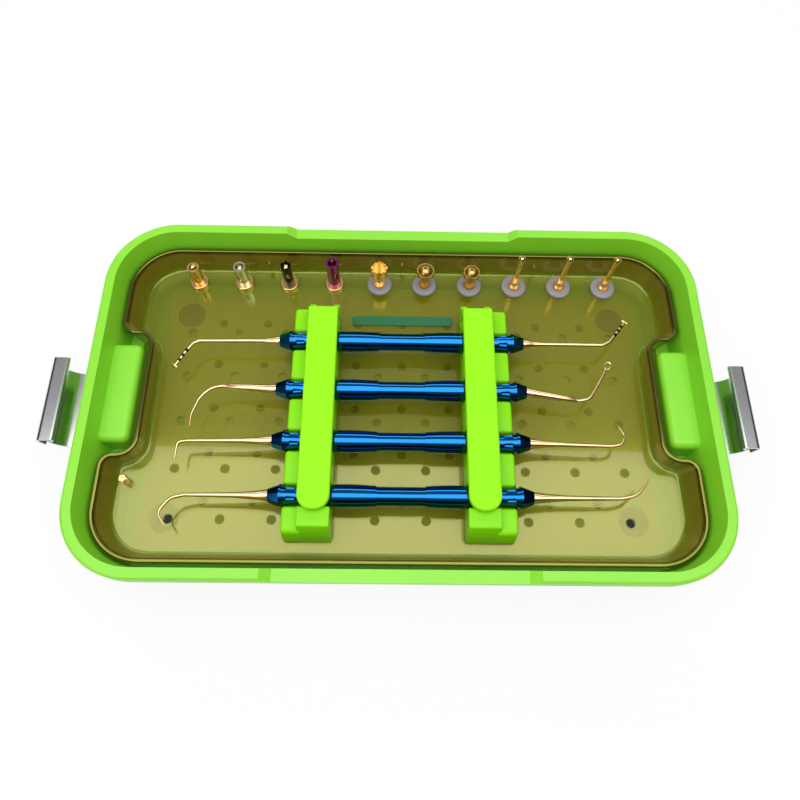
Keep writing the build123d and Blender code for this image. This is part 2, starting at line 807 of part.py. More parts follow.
for number in range(1, 5):
    place = (tool_places[number - 1], tool_y)
    bore = post_size / 2 + pin_gap
    with BuildPart() as post:
        with BuildSketch(Plane.XY.offset(tray_top_floor - peg_depth)):
            with Locations(place):
                Circle(peg_size / 2)
        extrude(amount=peg_depth)
        with BuildSketch(Plane.XY.offset(tray_top_floor)):
            with Locations(place):
                Circle(disc_size / 2)
        extrude(amount=disc_height)
        fillet(post.edges().group_by(Axis.Z)[-1], disc_height / 4)
        with BuildSketch(Plane.XY.offset(tray_top_floor + disc_height)):
            with Locations(place):
                Circle(post_size / 2)
        extrude(amount=post_tops[number - 1] - disc_height)
        fillet(post.edges().group_by(Axis.Z)[-1], post_size / 2 - pin_gap)
    save(post, f"post_{number}")

    sleeve_low = tray_top_floor + disc_height + seat_gap
    sleeve_high = tray_top_floor + sleeve_tops[number - 1]
    window_plane = Plane(
        (place[0], place[1], (sleeve_low + sleeve_high) / 2),
        x_dir=(cos(radians(window_turns[number - 1])), sin(radians(window_turns[number - 1])), 0),
        z_dir=(sin(radians(window_turns[number - 1])), -cos(radians(window_turns[number - 1])), 0),
    )
    with BuildPart() as sleeve:
        with BuildSketch(Plane.XY.offset(sleeve_low)):
            with Locations(place):
                Circle(sleeve_sizes[number - 1] / 2)
                Circle(bore, mode=Mode.SUBTRACT)
        extrude(amount=sleeve_high - sleeve_low)
        with BuildSketch(window_plane):
            SlotOverall(window_size[1], window_size[0], rotation=90)
        extrude(amount=sleeve_sizes[number - 1], both=True, mode=Mode.SUBTRACT)
        if number == crown_sleeve:
            with BuildSketch(Plane.XY.offset(sleeve_high)):
                with Locations(place):
                    with PolarLocations(sleeve_sizes[number - 1] / 2, crown_slots):
                        Rectangle(sleeve_sizes[number - 1] / 2, crown_slot[0])
            extrude(amount=-crown_slot[1], mode=Mode.SUBTRACT)
    save(sleeve, f"sleeve_{number}")

grommet_top = tray_top_floor + grommet_rise
for number in range(5, 11):
    place = (tool_places[number - 1], tool_y)
    with BuildPart() as grommet:
        with BuildSketch(Plane.XY.offset(tray_top_floor - grommet_drop)):
            with Locations(place):
                Circle(grommet_body / 2)
        extrude(amount=grommet_drop)
        with BuildSketch(Plane.XY.offset(tray_top_floor)):
            with Locations(place):
                Circle(grommet_head / 2)
        extrude(amount=grommet_rise)
        fillet(grommet.edges().group_by(Axis.Z)[-1], grommet_rise / 2)
        with BuildSketch(Plane.XY.offset(tray_level - grommet_ring_height)):
            with Locations(place):
                Circle(grommet_ring / 2)
        extrude(amount=grommet_ring_height)
        with BuildSketch(Plane.XY.offset(grommet_top)):
            with Locations(place):
                Circle(tool_shank / 2 + pin_gap)
        extrude(amount=-grommet_rise - grommet_drop, mode=Mode.SUBTRACT)
    save(grommet, f"grommet_{number}")

seat_z = grommet_top + seat_gap
shank_z = tray_top_floor - shank_drop


def tool_profile(place, outline):
    """Face on the upright axis of a tool, from its outline of (radius, height) points."""
    plane = Plane((place[0], place[1], 0), x_dir=(1, 0, 0), z_dir=(0, -1, 0))
    with BuildSketch(plane) as profile:
        with BuildLine():
            Polyline(*outline, close=True)
        make_face()
    return profile.sketch


def shank_outline():
    """Lower part shared by the six tools: shank in the grommet and the seat on top of it."""
    return [
        (0, shank_z),
        (tool_shank / 2, shank_z),
        (tool_shank / 2, seat_z),
        (seat_size / 2, seat_z),
        (seat_size / 2, seat_z + seat_height),
    ]


place = (tool_places[4], tool_y)
with BuildPart() as trephine:
    cup_outline = shank_outline() + [
        (tool_shank / 2, seat_z + seat_height),
        (tool_shank / 2, tray_top_floor + cup_bottom - cup_cone),
        (cup_size / 2, tray_top_floor + cup_bottom),
        (cup_size / 2, tray_top_floor + cup_top),
        (cup_size / 2 - cup_wall, tray_top_floor + cup_top),
        (cup_size / 2 - cup_wall, tray_top_floor + cup_bottom + cup_wall),
        (0, tray_top_floor + cup_bottom + cup_wall),
    ]
    revolve(tool_profile(place, cup_outline), axis=Axis((place[0], place[1], 0), (0, 0, 1)))
    # Pointed teeth: notches cut across the rim, two opposite ones at a time
    notch_width = pi * cup_size / tooth_count
    for turn in range(tooth_count // 2):
        angle = radians(360 * turn / tooth_count)
        notch_plane = Plane(
            (place[0], place[1], tray_top_floor + cup_top),
            x_dir=(-sin(angle), cos(angle), 0),
            z_dir=(cos(angle), sin(angle), 0),
        )
        with BuildSketch(notch_plane):
            with BuildLine():
                Polyline(
                    (-notch_width / 2, soft_gap / 2),
                    (notch_width / 2, soft_gap / 2),
                    (0, -tooth_depth),
                    close=True,
                )
            make_face()
        extrude(amount=cup_size, both=True, mode=Mode.SUBTRACT)
save(trephine, "trephine")

for number, size, top in ((6, dome_sizes[0], dome_tops[0]), (7, dome_sizes[1], dome_tops[1])):
    place = (tool_places[number - 1], tool_y)
    spring_line = tray_top_floor + top - size / 2
    ring_low = spring_line - dome_skirt - dome_ring[1]
    with BuildPart() as reamer:
        dome_outline = shank_outline() + [
            (tool_shank / 2, seat_z + seat_height),
            (tool_shank / 2, ring_low),
            (dome_ring[0] / 2, ring_low),
            (dome_ring[0] / 2, spring_line - dome_skirt),
            (size / 2, spring_line - dome_skirt),
            (size / 2, spring_line),
            (0, spring_line),
        ]
        revolve(tool_profile(place, dome_outline), axis=Axis((place[0], place[1], 0), (0, 0, 1)))
        with Locations((place[0], place[1], spring_line)):
            Sphere(size / 2, arc_size1=0)
        with BuildSketch(Plane.XY.offset(tray_top_floor + top)):
            with Locations(place):
                Circle(dome_hole / 2)
        extrude(amount=-size / 2, mode=Mode.SUBTRACT)
    save(reamer, f"dome_reamer_{number}")

for number, top, neck in zip((8, 9, 10), drill_tops, drill_necks):
    place = (tool_places[number - 1], tool_y)
    ball_z = tray_top_floor + top - drill_ball / 2
    collar_z = tray_top_floor + drill_collar_top
    with BuildPart() as drill:
        drill_outline = shank_outline() + [
            (drill_collar / 2, seat_z + seat_height),
            (drill_collar / 2, collar_z),
            (neck / 2, collar_z),
            (neck / 2, ball_z),
            (0, ball_z),
        ]
        revolve(tool_profile(place, drill_outline), axis=Axis((place[0], place[1], 0), (0, 0, 1)))
        # Two straight flutes along the neck
        with BuildSketch(Plane.XY.offset(collar_z + drill_collar / 4)):
            with Locations((place[0] - neck / 2, place[1]), (place[0] + neck / 2, place[1])):
                Circle(flute_depth)
        extrude(amount=ball_z - drill_ball / 2 - collar_z - drill_collar / 2, mode=Mode.SUBTRACT)
        with Locations((place[0], place[1], ball_z)):
            Sphere(drill_ball / 2)
        with BuildSketch(Plane.XY.offset(tray_top_floor + top)):
            with Locations(place):
                Circle(drill_hole / 2)
        extrude(amount=-drill_ball / 2, mode=Mode.SUBTRACT)
    save(drill, f"drill_{number}")
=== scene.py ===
import json
from contextlib import contextmanager
from math import atan2, cos, pi, radians, sin, tan

import bpy
from bpy.props import FloatProperty, FloatVectorProperty, PointerProperty
from mathutils import Matrix, Vector


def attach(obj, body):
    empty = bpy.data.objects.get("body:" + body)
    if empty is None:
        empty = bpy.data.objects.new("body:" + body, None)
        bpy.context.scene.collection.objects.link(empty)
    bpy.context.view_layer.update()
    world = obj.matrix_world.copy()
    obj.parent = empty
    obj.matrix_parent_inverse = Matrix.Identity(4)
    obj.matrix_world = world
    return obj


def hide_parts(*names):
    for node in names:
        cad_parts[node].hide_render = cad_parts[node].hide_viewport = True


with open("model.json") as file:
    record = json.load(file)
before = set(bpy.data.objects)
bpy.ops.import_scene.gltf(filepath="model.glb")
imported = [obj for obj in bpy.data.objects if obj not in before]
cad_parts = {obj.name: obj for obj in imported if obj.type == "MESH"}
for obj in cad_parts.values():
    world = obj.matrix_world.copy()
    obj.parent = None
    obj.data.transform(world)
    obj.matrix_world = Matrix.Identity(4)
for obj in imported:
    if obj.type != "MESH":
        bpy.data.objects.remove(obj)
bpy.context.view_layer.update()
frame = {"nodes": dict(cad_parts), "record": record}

bl_info = {
    "name": "Implant surgical kit",
    "version": (1, 0, 0),
    "blender": (4, 5, 0),
    "location": "View3D > Sidebar > Kit",
    "description": "Dresses the packed surgical kit: case, tray, straps, instruments and tools",
    "category": "Object",
}

MM = 0.001
NODES = frame["nodes"]

# Places and sizes shared with the solids, in millimetres: top of the tray floor, height of the
# instruments' axes, rows of the instruments and places of the ten tools
FLOOR = 20.0
AXIS = 29.5
ROWS = (23.1, 1.5, -20.1, -41.7)
TOOL_PITCH = 20.0
TOOLS = tuple(TOOL_PITCH * (n - 4.5) for n in range(10))
TOOL_Y = 55.8

# Straps as (side, distance of the middle, distance of the comb's outer edge), and their outline
STRAPS = {"left": (-1, 32.7, 45.0), "right": (1, 31.3, 44.1)}
STRAP_WIDTH = 12.3
STRAP_UNDER = 34.25
STRAP_TOP = 37.25
STRAP_TIP = -48.3
STRAP_BACK = 35.7
STRAP_HEEL = (38.55, 31.6)
STRAP_ROUND = 0.7
NOSE_INSET = 0.4

# Hinge of a strap as (y, z), and the ears that hold its pin
HINGE = (38.0, 28.0)
HINGE_RADIUS = 2.4
HINGE_BORE = 1.15
BORE_SIDES = 24
KNUCKLE_TOP = 33.6
EAR_RADIUS = 3.0
EAR_WIDTH = 2.4
HALF_TURN_STEPS = 12
GAP = 0.3

# Holders: front face, height of the combs, seats as (radius, flare), and rounded edges
FRONT = -57.5
FRONT_RISE = 1.2
BLOCK_SLOPE = 3.5
COMB_SLOPE = 1.8
STEP_TOP = 30.4
COMB_TOP = 30.5
BLOCK_SEAT = (4.75, 0.0)
COMB_SEAT = (4.05, 0.6)
COMB_OVERLAP = 1.6
BLOCK_ROUND = 0.5
COMB_ROUND = 1.25

# Instruments: end of the cones, where a tip starts in its bore, and its radius there and at the
# mouth of the bore
CONE_END = 50.5
TIP_ROOT = 45.1
ROOT_RADIUS = 1.6
MOUTH_RADIUS = 2.3
MOUTH_STEP = 0.04

# Grommets as (radius, height) points
GROMMET = (
    (1.66, 14.0), (3.1, 14.0), (3.5, 14.5), (3.5, 16.5), (4.3, 16.7), (4.3, 17.75), (4.1, 18.0),
    (3.5, 18.0), (3.5, 20.0), (5.2, 20.0), (5.45, 20.15), (5.5, 20.5), (5.4, 20.95), (5.1, 21.3),
    (4.6, 21.47), (3.6, 21.5), (3.2, 21.42), (2.8, 21.5), (2.2, 21.5), (1.9, 21.3), (1.66, 20.9),
    (1.66, 14.0),
)

# Feet as (radius, height) points, their places, and the socket as (radius, depth)
FOOT = (
    (0, 0), (5.6, 0), (6.5, 0.25), (6.95, 0.9), (7.0, 1.6), (6.9, 4.0), (2.5, 4.0), (2.5, 7.0),
    (5.5, 7.0), (5.9, 7.2), (6.0, 7.6), (5.8, 8.0), (5.3, 8.2), (0, 8.2),
)
FOOT_PLACE = (95.5, 46.0)
SOCKET = (1.6, 2.4)

# Way in which the rotate operator turns about Z for a positive value
TURN = -1

# Turns and ratios under this leave a section of a bar as it is
SAME = 1e-4

# Shank of each row's tips as (distance from the cone, radius), and the radius after the bend
SHANKS = (
    ((0.75, 2.3), (3.2, 1.6), (7.2, 1.05), (12.0, 0.95)),
    ((0.75, 2.3), (3.6, 1.95), (11.5, 1.6), (19.0, 1.2)),
    ((0.75, 2.3), (4.2, 1.7), (10.5, 1.15), (13.0, 1.05)),
    ((0.75, 2.3), (4.2, 1.75), (10.5, 1.25), (13.0, 1.1)),
)
BLADES = (0.85, 0.75, 0.7, 0.75)

# Route of each tip after its shank: (distance from the middle, y) corners, the radius of its
# bends, and the kind of its end
TIPS = {
    "left_1": (((84.0, 22.6), (86.6, 21.4), (89.1, 17.7), (92.7, 11.3)), 2.0, "foot"),
    "right_1": (((84.0, 23.1), (87.0, 24.6), (90.6, 28.8), (94.6, 34.0)), 2.0, "foot"),
    "left_2": (((72.0, 2.6), (76.5, 1.8), (80.9, -2.1), (83.6, -9.8), (83.4, -14.3)), 9.0, "point"),
    "right_2": (((72.0, -1.9), (76.2, -1.0), (80.4, 5.4), (84.5, 12.5)), 6.0, "loop"),
    "left_3": (((83.0, -20.5), (87.3, -21.0), (87.6, -27.6)), 1.8, "point"),
    "right_3": (((83.0, -20.8), (87.2, -20.0), (88.6, -16.5), (86.4, -12.6)), 2.6, "point"),
    "left_4": (((82.0, -41.8), (87.2, -43.0), (91.6, -48.6), (88.0, -53.2)), 5.5, "point"),
    "right_4": (((84.0, -41.6), (90.6, -40.4), (96.2, -33.6)), 9.0, "point"),
}
FINAL_RADII = {"point": 0.22, "foot": 0.6, "loop": 0.5}
BEND_STEPS = 7
TUBE_STEP = 0.6
TUBE_SIDES = 20

# Dark bands of a foot as distances from its end, its bar as (radius, length), and the ring of a
# loop as (ring radius, wire radius, reach past the end, stretch)
BANDS = ((2.6, 3.8), (5.0, 6.2), (7.4, 8.6))
BAR = (0.6, 3.0)
RING = (1.25, 0.38, 1.4, 1.35)

# Plan of the case floor that gets painted amber light from the tray, and of the ground under the
# case that gets painted shade, as half sizes
AMBER_LIGHT_PLAN = (106.0, 58.0)
PAINTED_SHADE_GROUND = (100.0, 54.0)

# Heights at which the colour of the case turns from the floor's painted amber light to the wall and
# from wall to rim
CASE_WALL_START = 15.0
CASE_LIP_START = 37.0

# How much the tray's walls and lip hide, how much of the floor's white is its own glow, and the
# range that most values of a noise texture lie in
WALL_COVER = 0.85
LIP_COVER = 1.0
FLOOR_GLOW = 0.87
NOISE_RANGE = (0.3, 0.7)


# Modelling helpers


def only(obj):
    """Leave edit mode, then select one object alone."""
    if bpy.context.object is not None and bpy.context.object.mode != "OBJECT":
        bpy.ops.object.mode_set(mode="OBJECT")
    bpy.ops.object.select_all(action="DESELECT")
    obj.select_set(True)
    bpy.context.view_layer.objects.active = obj
    return obj


@contextmanager
def editing(obj, kind="VERT"):
    """Edit mode on one object, choosing vertices or edges."""
    only(obj)
    bpy.context.tool_settings.mesh_select_mode = (kind == "VERT", kind == "EDGE", False)
    bpy.ops.object.mode_set(mode="EDIT")
    yield obj
    bpy.ops.object.mode_set(mode="OBJECT")


def new_piece(name):
    """Name the object that the last operator added."""
    obj = bpy.context.object
    obj.name = name
    obj.data.name = name
    return obj


def extrude_by(move):
    """Extrude what is selected by a vector in metres."""
    bpy.ops.mesh.extrude_region_move(TRANSFORM_OT_translate={"value": move})


def outline(name, points):
    """Chain of edges drawn from one corner to the next, points in millimetres."""
    bpy.ops.mesh.primitive_plane_add(size=MM)
    obj = new_piece(name)
    corners = [Vector(point) * MM for point in points]
    with editing(obj):
        bpy.ops.mesh.select_all(action="SELECT")
        bpy.ops.mesh.merge(type="CENTER")
        bpy.ops.transform.translate(value=corners[0])
        for before, after in zip(corners, corners[1:]):
            extrude_by(after - before)
    return obj


def prism(name, profile, low, high):
    """Solid between two X places with a side outline of (y, z) points."""
    obj = outline(name, [(low, y, z) for y, z in [*profile, profile[0]]])
    with editing(obj):
        bpy.ops.mesh.select_all(action="SELECT")
        bpy.ops.mesh.remove_doubles(threshold=0.002 * MM)
        bpy.ops.mesh.edge_face_add()
        extrude_by(((high - low) * MM, 0, 0))
        bpy.ops.mesh.select_all(action="SELECT")
        bpy.ops.mesh.normals_make_consistent(inside=False)
    return obj


def lathe(name, profile, place, steps=48):
    """Solid turned about an upright axis from (radius, height) points."""
    obj = outline(name, [(radius, 0, height) for radius, height in profile])
    with editing(obj):
        bpy.ops.mesh.select_all(action="SELECT")
        bpy.ops.mesh.spin(steps=steps, angle=2 * pi, center=(0, 0, 0), axis=(0, 0, 1))
        bpy.ops.mesh.select_all(action="SELECT")
        bpy.ops.mesh.remove_doubles(threshold=0.004 * MM)
        bpy.ops.mesh.normals_make_consistent(inside=False)
        bpy.ops.transform.translate(value=Vector(place) * MM)
    return obj


def round_edges(obj, test, radius, steps):
    """Round the picked edges."""
    with editing(obj, "EDGE"):
        bpy.ops.mesh.select_all(action="DESELECT")
    for edge in obj.data.edges:
        low, high = (obj.data.vertices[index].co / MM for index in edge.vertices)
        edge.select = bool(test(low, high))
    with editing(obj, "EDGE"):
        bpy.ops.mesh.bevel(offset=radius * MM, segments=steps, affect="EDGES", clamp_overlap=True)


def tube(name, path):
    """Closed round bar along a level path of (x, y, radius) points at the axis height."""
    bpy.ops.mesh.primitive_circle_add(
        vertices=TUBE_SIDES, radius=path[0][2] * MM, fill_type="NGON"
    )
    obj = new_piece(name)
    corners = [Vector((x, y, AXIS)) * MM for x, y, _ in path]
    steps = [(after - before).normalized() for before, after in zip(corners, corners[1:])]
    ways = [steps[0], *((a + b).normalized() for a, b in zip(steps, steps[1:])), steps[-1]]
    headings = [atan2(way.y, way.x) for way in ways]
    with editing(obj):
        bpy.ops.mesh.select_all(action="SELECT")
        bpy.ops.transform.rotate(value=pi / 2, orient_axis="Y", center_override=(0, 0, 0))
        bpy.ops.transform.rotate(
            value=TURN * headings[0], orient_axis="Z", center_override=(0, 0, 0)
        )
        bpy.ops.transform.translate(value=corners[0])
        for n in range(1, len(path)):
            extrude_by(corners[n] - corners[n - 1])
            turn = (headings[n] - headings[n - 1] + pi) % (2 * pi) - pi
            if abs(turn) > SAME:
                bpy.ops.transform.rotate(
                    value=TURN * turn, orient_axis="Z", center_override=corners[n]
                )
            ratio = path[n][2] / path[n - 1][2]
            if abs(ratio - 1) > SAME:
                bpy.ops.transform.resize(value=(ratio, ratio, ratio), center_override=corners[n])
    return obj


def soft_edges(obj, radius, steps=3, angle=40.0, clamp=False):
    """Round every edge sharper than an angle."""
    only(obj)
    modifier = obj.modifiers.new("Soft edges", "BEVEL")
    modifier.width = radius * MM
    modifier.segments = steps
    modifier.limit_method = "ANGLE"
    modifier.use_clamp_overlap = clamp
    modifier.angle_limit = radians(angle)
    bpy.ops.object.modifier_apply(modifier=modifier.name)
    return obj


def cut(obj, other):
    """Cut a second solid out of the first and drop it."""
    only(obj)
    modifier = obj.modifiers.new("Cut", "BOOLEAN")
    modifier.operation = "DIFFERENCE"
    modifier.solver = "EXACT"
    modifier.object = other
    bpy.ops.object.modifier_apply(modifier=modifier.name)
    bpy.data.objects.remove(other)
    return obj


def gather(obj, *others):
    """Put further closed solids in the same piece."""
    only(obj)
    for other in others:
        other.select_set(True)
    bpy.ops.object.join()
    return obj


def round_hinge(radius, turn):
    """Point on a circle about the hinge pin."""
    return (HINGE[0] + radius * cos(turn), HINGE[1] + radius * sin(turn))


def pin_bore(obj, middle, reach):
    """Bore for the hinge pin of a strap."""
    profile = [round_hinge(HINGE_BORE, 2 * pi * n / BORE_SIDES) for n in range(BORE_SIDES)]
    return cut(obj, prism("bore", profile, middle - reach, middle + reach))


def soften(points, radii, steps=4):
    """Closed outline with each corner rounded by its own radius."""
    result = []
    for n, (point, radius) in enumerate(zip(points, radii)):
        corner = Vector(point)
        if radius <= 0.0:
            result.append(tuple(corner))
            continue
        before = Vector(points[n - 1]) - corner
        after = Vector(points[(n + 1) % len(points)]) - corner
        reach = min(
            radius / tan(before.angle(after) / 2), before.length * 0.49, after.length * 0.49
        )
        start = corner + before.normalized() * reach
        finish = corner + after.normalized() * reach
        for step in range(steps + 1):
            share = step / steps
            bent = (1 - share) ** 2 * start + 2 * share * (1 - share) * corner + share**2 * finish
            result.append(tuple(bent))
    return result


def settle(obj, angle=35.0, merge=0.002):
    """Put the place in the mesh, merge doubles, turn faces outwards and shade."""
    only(obj)
    bpy.ops.object.transform_apply(location=True, rotation=True, scale=True)
    with editing(obj):
        bpy.ops.mesh.select_all(action="SELECT")
        bpy.ops.mesh.remove_doubles(threshold=merge * MM)
        bpy.ops.mesh.normals_make_consistent(inside=False)
    only(obj)
    bpy.ops.object.shade_smooth_by_angle(angle=radians(angle))
    return obj


def finish_piece(obj, body, material, slot, *nodes):
    """Dress a finished piece, hide the solids it replaces and attach it to its body."""
    obj.data.materials.clear()
    obj.data.materials.append(material)
    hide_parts(*nodes)
    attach(obj, body)
    return obj


# Shader node groups


def new_group(name, inputs, outputs):
    """Empty shader node group with named sockets."""
    group = bpy.data.node_groups.new(name, "ShaderNodeTree")
    for label, kind, value in inputs:
        socket = group.interface.new_socket(label, in_out="INPUT", socket_type=kind)
        socket.default_value = value
    for label, kind in outputs:
        group.interface.new_socket(label, in_out="OUTPUT", socket_type=kind)
    group.nodes.new("NodeGroupInput")
    group.nodes.new("NodeGroupOutput")
    return group


def ends(group):
    """Input and output node of a group."""
    found = {node.type: node for node in group.nodes}
    return found["GROUP_INPUT"], found["GROUP_OUTPUT"]


def noise(tree, scale, detail):
    """Noise on Object coordinates, scale in turns per metre."""
    where = tree.nodes.new("ShaderNodeTexCoord")
    texture = tree.nodes.new("ShaderNodeTexNoise")
    texture.inputs["Scale"].default_value = scale
    texture.inputs["Detail"].default_value = detail
    tree.links.new(where.outputs["Object"], texture.inputs["Vector"])
    return texture


def remap(tree, source, low, high):
    """Map a 0 to 1 value to a range."""
    node = tree.nodes.new("ShaderNodeMapRange")
    node.inputs["From Min"].default_value = NOISE_RANGE[0]
    node.inputs["From Max"].default_value = NOISE_RANGE[1]
    for label, value in (("To Min", low), ("To Max", high)):
        if isinstance(value, float):
            node.inputs[label].default_value = value
        else:
            tree.links.new(value, node.inputs[label])
    tree.links.new(source, node.inputs["Value"])
    return node.outputs["Result"]


def beyond_plan(tree, *halves):
    """1 outside a rectangle about the middle in plan, 0 inside it."""
    where = tree.nodes.new("ShaderNodeTexCoord")
    split = tree.nodes.new("ShaderNodeSeparateXYZ")
    tree.links.new(where.outputs["Object"], split.inputs["Vector"])
    outside = tree.nodes.new("ShaderNodeMath")
    outside.operation = "MAXIMUM"
    for slot, (axis, half) in enumerate(zip("XY", halves)):
        size = tree.nodes.new("ShaderNodeMath")
        size.operation = "ABSOLUTE"
        tree.links.new(split.outputs[axis], size.inputs[0])
        beyond = tree.nodes.new("ShaderNodeMath")
        beyond.operation = "GREATER_THAN"
        beyond.inputs[1].default_value = half * MM
        tree.links.new(size.outputs["Value"], beyond.inputs[0])
        tree.links.new(beyond.outputs["Value"], outside.inputs[slot])
    return outside.outputs["Value"]


SURFACE_OUTPUTS = (
    ("Color", "NodeSocketColor"),
    ("Roughness", "NodeSocketFloat"),
    ("Height", "NodeSocketFloat"),
)


def make_moulded():
    """Colour drift, roughness drift and fine grain of a moulded surface."""
    group = new_group(
        "Moulded surface",
        (
            ("Color", "NodeSocketColor", (0.5, 0.5, 0.5, 1.0)),
            ("Shade", "NodeSocketColor", (0.4, 0.4, 0.4, 1.0)),
            ("Drift Scale", "NodeSocketFloat", 18.0),
            ("Grain Scale", "NodeSocketFloat", 2200.0),
            ("Roughness Low", "NodeSocketFloat", 0.2),
            ("Roughness High", "NodeSocketFloat", 0.3),
        ),
        SURFACE_OUTPUTS,
    )
    start, end = ends(group)
    drift = noise(group, 18.0, 2.0)
    grain = noise(group, 2200.0, 3.0)
    group.links.new(start.outputs["Drift Scale"], drift.inputs["Scale"])
    group.links.new(start.outputs["Grain Scale"], grain.inputs["Scale"])
    mix = group.nodes.new("ShaderNodeMix")
    mix.data_type = "RGBA"
    group.links.new(remap(group, drift.outputs["Fac"], 0.0, 1.0), mix.inputs["Factor"])
    group.links.new(start.outputs["Color"], mix.inputs["A"])
    group.links.new(start.outputs["Shade"], mix.inputs["B"])
    group.links.new(mix.outputs["Result"], end.inputs["Color"])
    rough = remap(
        group, drift.outputs["Fac"], start.outputs["Roughness Low"], start.outputs["Roughness High"]
    )
    group.links.new(rough, end.inputs["Roughness"])
    group.links.new(grain.outputs["Fac"], end.inputs["Height"])
    return group


def make_depth():
    """Colour, cover and gloss of a tray or case by height: floor, walls and lip."""
    group = new_group(
        "Depth",
        (
            ("Floor", "NodeSocketColor", (0.4, 0.4, 0.1, 1.0)),
            ("Wall", "NodeSocketColor", (0.3, 0.2, 0.05, 1.0)),
            ("Lip", "NodeSocketColor", (0.1, 0.05, 0.02, 1.0)),
            ("Floor Cover", "NodeSocketFloat", 0.5),
            ("Wall Cover", "NodeSocketFloat", 0.6),
            ("Lip Cover", "NodeSocketFloat", 0.85),
            ("Floor Gloss", "NodeSocketFloat", 1.0),
            ("Wall Gloss", "NodeSocketFloat", 0.3),
            ("Lip Gloss", "NodeSocketFloat", 0.15),
            ("Wall Start", "NodeSocketFloat", 0.0202),
            ("Lip Start", "NodeSocketFloat", 0.0284),
        ),
        (("Color", "NodeSocketColor"), ("Alpha", "NodeSocketFloat"), ("Coat", "NodeSocketFloat")),
    )
    start, end = ends(group)
    where = group.nodes.new("ShaderNodeTexCoord")
    split = group.nodes.new("ShaderNodeSeparateXYZ")
    group.links.new(where.outputs["Object"], split.inputs["Vector"])
    colour = start.outputs["Floor"]
    levels = {kind: start.outputs[f"Floor {kind}"] for kind in ("Cover", "Gloss")}
    for label, rise in (("Wall", 2.8), ("Lip", 1.2)):
        above = group.nodes.new("ShaderNodeMath")
        above.operation = "SUBTRACT"
        group.links.new(split.outputs["Z"], above.inputs[0])
        group.links.new(start.outputs[f"{label} Start"], above.inputs[1])
        step = group.nodes.new("ShaderNodeMapRange")
        step.inputs["From Min"].default_value = 0.0
        step.inputs["From Max"].default_value = rise * MM
        group.links.new(above.outputs["Value"], step.inputs["Value"])
        mix = group.nodes.new("ShaderNodeMix")
        mix.data_type = "RGBA"
        group.links.new(step.outputs["Result"], mix.inputs["Factor"])
        group.links.new(colour, mix.inputs["A"])
        group.links.new(start.outputs[label], mix.inputs["B"])
        colour = mix.outputs["Result"]
        for kind, level in levels.items():
            blend = group.nodes.new("ShaderNodeMix")
            group.links.new(step.outputs["Result"], blend.inputs["Factor"])
            group.links.new(level, blend.inputs["A"])
            group.links.new(start.outputs[f"{label} {kind}"], blend.inputs["B"])
            levels[kind] = blend.outputs["Result"]
    group.links.new(colour, end.inputs["Color"])
    group.links.new(levels["Cover"], end.inputs["Alpha"])
    group.links.new(levels["Gloss"], end.inputs["Coat"])
    return group


def make_turned_metal():
    """Fine rings left by turning along X, Y or Z, with worn lighter patches."""
    group = new_group(
        "Turned metal",
        (
            ("Color", "NodeSocketColor", (0.8, 0.8, 0.8, 1.0)),
            ("Wear", "NodeSocketColor", (0.9, 0.9, 0.9, 1.0)),
            ("Direction", "NodeSocketVector", (0.0, 0.0, 1.0)),
            ("Patch Scale", "NodeSocketFloat", 160.0),
            ("Roughness Low", "NodeSocketFloat", 0.12),
            ("Roughness High", "NodeSocketFloat", 0.25),
        ),
        SURFACE_OUTPUTS,
    )
    start, end = ends(group)
    where = group.nodes.new("ShaderNodeTexCoord")
    along = group.nodes.new("ShaderNodeVectorMath")
    along.operation = "MULTIPLY"
    group.links.new(where.outputs["Object"], along.inputs[0])
    group.links.new(start.outputs["Direction"], along.inputs[1])
    rings = group.nodes.new("ShaderNodeTexNoise")
    rings.inputs["Scale"].default_value = 4200.0
    rings.inputs["Detail"].default_value = 2.0
    group.links.new(along.outputs["Vector"], rings.inputs["Vector"])
    patches = noise(group, 160.0, 3.0)
    group.links.new(start.outputs["Patch Scale"], patches.inputs["Scale"])
    mix = group.nodes.new("ShaderNodeMix")
    mix.data_type = "RGBA"
    group.links.new(remap(group, patches.outputs["Fac"], 0.0, 0.6), mix.inputs["Factor"])
    group.links.new(start.outputs["Color"], mix.inputs["A"])
    group.links.new(start.outputs["Wear"], mix.inputs["B"])
    group.links.new(mix.outputs["Result"], end.inputs["Color"])
    rough = remap(
        group, rings.outputs["Fac"], start.outputs["Roughness Low"], start.outputs["Roughness High"]
    )
    group.links.new(rough, end.inputs["Roughness"])
    group.links.new(rings.outputs["Fac"], end.inputs["Height"])
    return group


GROUPS = {}
MATERIALS = {}


def group_named(name, maker):
    """The shared node group, made the first time it is asked for."""
    if name not in GROUPS:
        GROUPS[name] = maker()
    return GROUPS[name]


def new_material(name):
    """Material with a Principled shader joined to its output."""
    material = bpy.data.materials.new(name)
    material.use_nodes = True
    tree = material.node_tree
    shader = tree.nodes["Principled BSDF"]
    return material, tree, shader


def surface(tree, shader, group, values, bump, distance):
    """Place a surface group in a material and join it to the shader."""
    node = tree.nodes.new("ShaderNodeGroup")
    node.node_tree = group
    for label, value in values.items():
        node.inputs[label].default_value = value
    relief = tree.nodes.new("ShaderNodeBump")
    relief.inputs["Strength"].default_value = bump
    relief.inputs["Distance"].default_value = distance * MM
    tree.links.new(node.outputs["Height"], relief.inputs["Height"])
    tree.links.new(node.outputs["Color"], shader.inputs["Base Color"])
    tree.links.new(node.outputs["Roughness"], shader.inputs["Roughness"])
    tree.links.new(relief.outputs["Normal"], shader.inputs["Normal"])
    return node


def rgba(colour, factor=1.0):
    """Colour with full alpha, lightened or darkened by a factor."""
    return (colour[0] * factor, colour[1] * factor, colour[2] * factor, 1.0)


